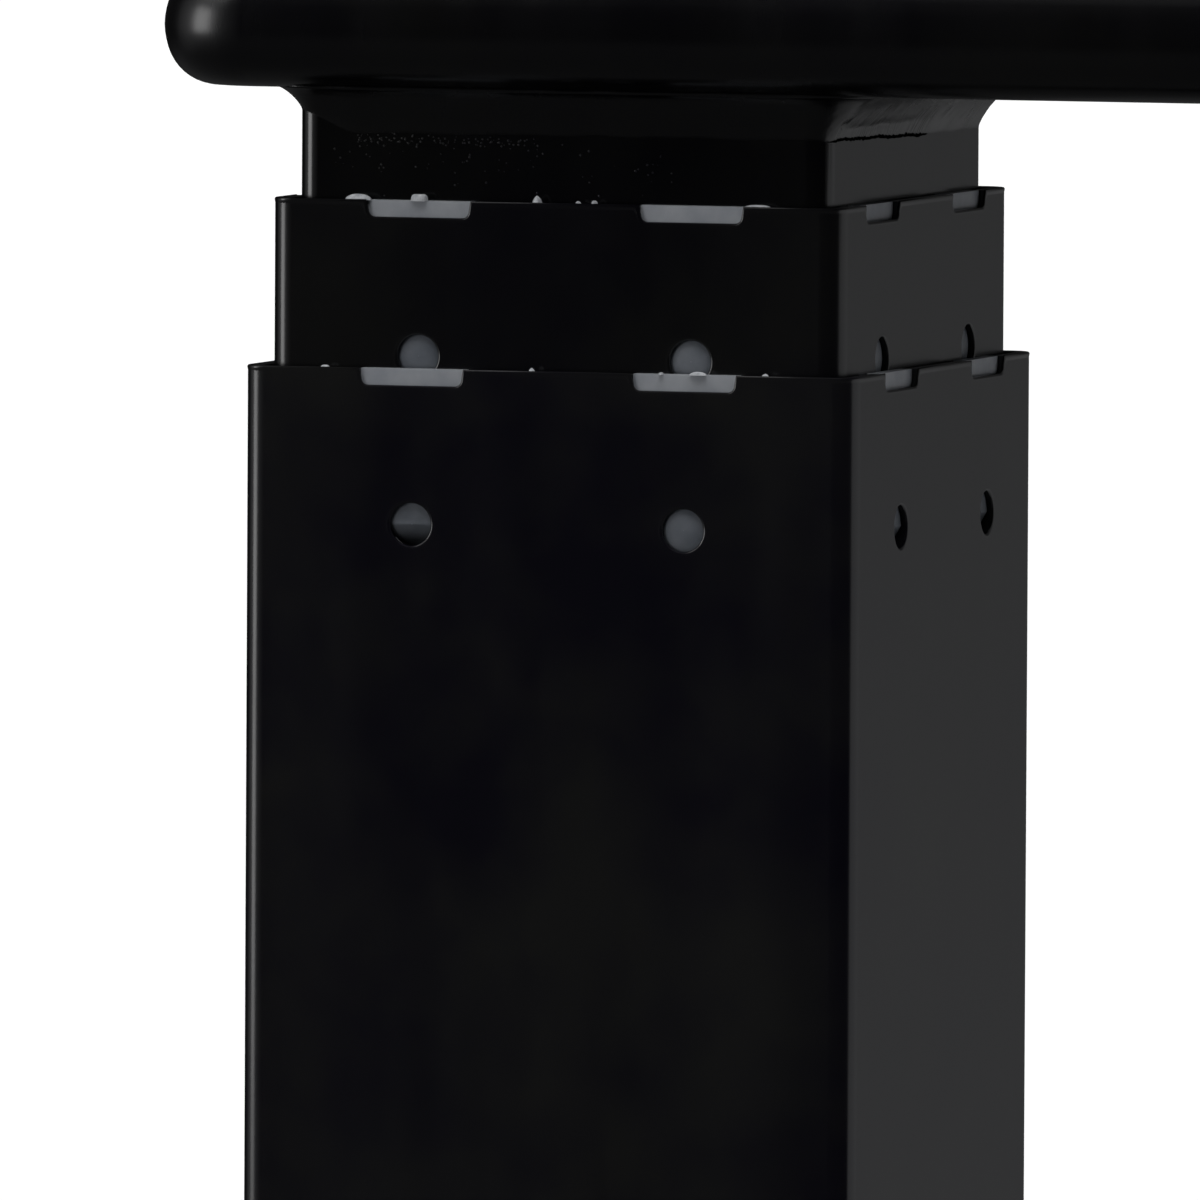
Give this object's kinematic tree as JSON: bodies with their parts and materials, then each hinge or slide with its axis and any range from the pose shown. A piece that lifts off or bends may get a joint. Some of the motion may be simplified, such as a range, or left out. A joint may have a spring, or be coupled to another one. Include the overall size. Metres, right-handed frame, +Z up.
{
  "type": "standing desk frame",
  "caption": "Electric sit-stand desk frame with C-shaped legs: telescoping square columns, screw drives, flat rounded support arms, feet and cross rails.",
  "frame": {"origin": "on the floor, in the middle of the four levelling feet, legs fully lowered", "axes": "+X from the rear of the desk to the user, +Y from the left leg to the right leg, +Z up"},
  "size_m": [0.6, 1.17, 0.6096],
  "materials": {
    "powder_coat": "satin",
    "glide_plastic": "matte",
    "white_plastic": "matte",
    "black_plastic": "matte",
    "zinc_steel": "satin",
    "black_rubber": "matte",
    "dark_bolts": "satin",
    "motor_can": "satin",
    "gear_housing": "satin"
  },
  "bodies": {
    "left_base": {"left_foot": "powder_coat", "left_leveller_rear": "black_plastic", "left_leveller_front": "black_plastic", "left_base_plate": "zinc_steel", "left_base_bolts": "dark_bolts", "left_outer_tube": "powder_coat", "left_outer_glides": "glide_plastic", "left_cable_grommet": "black_rubber", "left_motor": "motor_can", "left_gearbox": "gear_housing", "left_bearing_block": "zinc_steel", "left_screw_bearing": "zinc_steel"},
    "left_middle": {"left_middle_tube": "powder_coat", "left_middle_glides": "glide_plastic", "left_middle_guide": "white_plastic", "left_lower_nut_plate": "zinc_steel", "left_lower_nut": "white_plastic", "left_swivel_bearing": "zinc_steel"},
    "left_solid_screw": {"left_inner_screw": "zinc_steel", "left_output_shaft": "zinc_steel"},
    "left_hollow_screw": {"left_hollow_screw": "zinc_steel"},
    "right_base": {"right_foot": "powder_coat", "right_leveller_rear": "black_plastic", "right_leveller_front": "black_plastic", "right_base_plate": "zinc_steel", "right_base_bolts": "dark_bolts", "right_outer_tube": "powder_coat", "right_outer_glides": "glide_plastic", "right_cable_grommet": "black_rubber", "right_motor": "motor_can", "right_gearbox": "gear_housing", "right_bearing_block": "zinc_steel", "right_screw_bearing": "zinc_steel"},
    "right_middle": {"right_middle_tube": "powder_coat", "right_middle_glides": "glide_plastic", "right_middle_guide": "white_plastic", "right_lower_nut_plate": "zinc_steel", "right_lower_nut": "white_plastic", "right_swivel_bearing": "zinc_steel"},
    "right_solid_screw": {"right_inner_screw": "zinc_steel", "right_output_shaft": "zinc_steel"},
    "right_hollow_screw": {"right_hollow_screw": "zinc_steel"},
    "top_frame": {"left_inner_tube": "powder_coat", "left_inner_guide": "white_plastic", "left_upper_nut_plate": "zinc_steel", "left_upper_nut": "white_plastic", "left_arm": "powder_coat", "left_column_weld": "powder_coat", "right_inner_tube": "powder_coat", "right_inner_guide": "white_plastic", "right_upper_nut_plate": "zinc_steel", "right_upper_nut": "white_plastic", "right_arm": "powder_coat", "right_column_weld": "powder_coat", "rear_rail": "powder_coat", "front_rail": "powder_coat", "rail_plugs": "black_plastic", "rail_bolts": "dark_bolts", "rivet_nuts": "zinc_steel"}
  },
  "joints": [
    {"name": "left_lower_lift", "type": "slide", "parent": "left_base", "child": "left_middle", "axis": [0, 0, 1], "range_m": [0, 0.29]},
    {"name": "left_upper_lift", "type": "slide", "parent": "left_middle", "child": "top_frame", "axis": [0, 0, 1], "range_m": [0, 0.29]},
    {"name": "right_upper_lift", "type": "slide", "parent": "top_frame", "child": "right_middle", "axis": [0, 0, -1], "range_m": [0, 0.29]},
    {"name": "right_lower_lift", "type": "slide", "parent": "right_middle", "child": "right_base", "axis": [0, 0, -1], "range_m": [0, 0.29]},
    {"name": "left_solid_screw_turn", "type": "hinge", "parent": "left_base", "child": "left_solid_screw", "pos_m": [-0.238, -0.54, 0.3], "axis": [0, 0, 1], "range_deg": [0, 13050]},
    {"name": "left_hollow_screw_turn", "type": "hinge", "parent": "left_middle", "child": "left_hollow_screw", "pos_m": [-0.238, -0.54, 0.3], "axis": [0, 0, 1], "range_deg": [0, 13050]},
    {"name": "right_solid_screw_turn", "type": "hinge", "parent": "right_base", "child": "right_solid_screw", "pos_m": [-0.238, 0.54, 0.3], "axis": [0, 0, 1], "range_deg": [0, 13050]},
    {"name": "right_hollow_screw_turn", "type": "hinge", "parent": "right_middle", "child": "right_hollow_screw", "pos_m": [-0.238, 0.54, 0.3], "axis": [0, 0, 1], "range_deg": [0, 13050]}
  ],
  "couplings": [
    {"joint": "left_upper_lift", "follows": "left_lower_lift", "ratio": 1},
    {"joint": "right_upper_lift", "follows": "left_lower_lift", "ratio": 1},
    {"joint": "right_lower_lift", "follows": "left_lower_lift", "ratio": 1},
    {"joint": "left_solid_screw_turn", "follows": "left_lower_lift", "rad_per_m": 785.4},
    {"joint": "left_hollow_screw_turn", "follows": "left_lower_lift", "rad_per_m": 785.4},
    {"joint": "right_solid_screw_turn", "follows": "left_lower_lift", "rad_per_m": 785.4},
    {"joint": "right_hollow_screw_turn", "follows": "left_lower_lift", "rad_per_m": 785.4}
  ]
}
